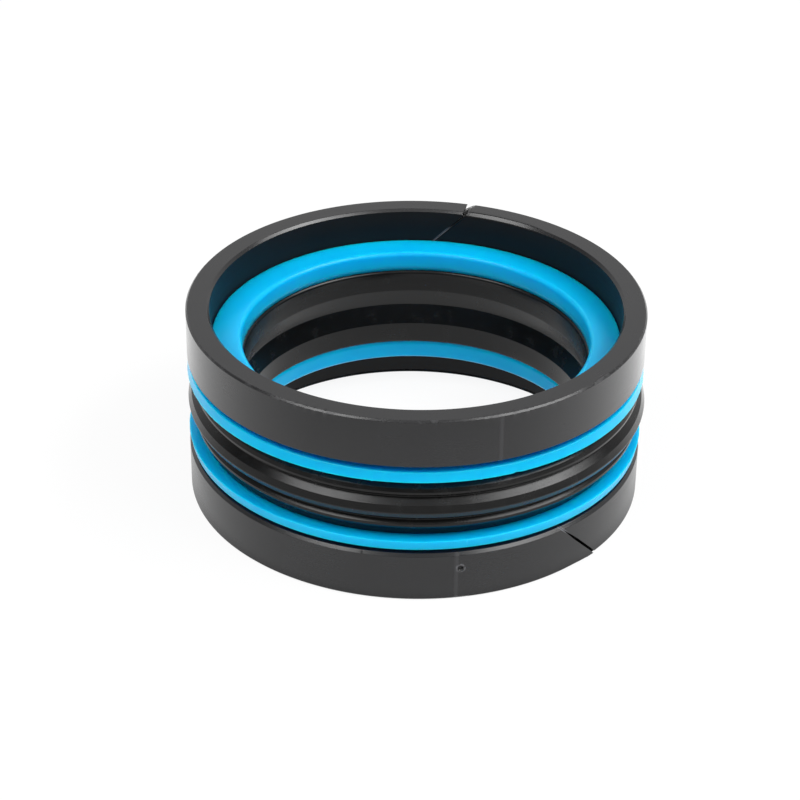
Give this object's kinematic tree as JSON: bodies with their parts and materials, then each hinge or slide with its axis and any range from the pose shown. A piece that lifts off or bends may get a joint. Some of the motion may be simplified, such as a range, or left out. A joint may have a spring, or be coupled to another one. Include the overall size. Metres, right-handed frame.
{
  "type": "double-acting piston seal",
  "caption": "Double-acting compact piston seal: a lobed rubber ring between blue L-shaped back-up rings, with split hard-plastic guide rings outside.",
  "frame": {"origin": "centre of the ring set, half way between the two end faces", "axes": "+Z along the ring axis, upwards as the set stands on one guide ring's end face; +X to the right in the picture, +Y away from the camera"},
  "size_m": [0.081, 0.081, 0.0348],
  "materials": {
    "rubber": "smooth moulded black nitrile rubber, semi-gloss",
    "blue_elastomer": "satin sky-blue polyester elastomer",
    "guide_plastic": "satin black acetal plastic"
  },
  "bodies": {
    "root": {"sealing_ring": "rubber", "upper_backup_ring": "blue_elastomer", "lower_backup_ring": "blue_elastomer", "upper_guide_ring": "guide_plastic", "lower_guide_ring": "guide_plastic"}
  },
  "joints": []
}
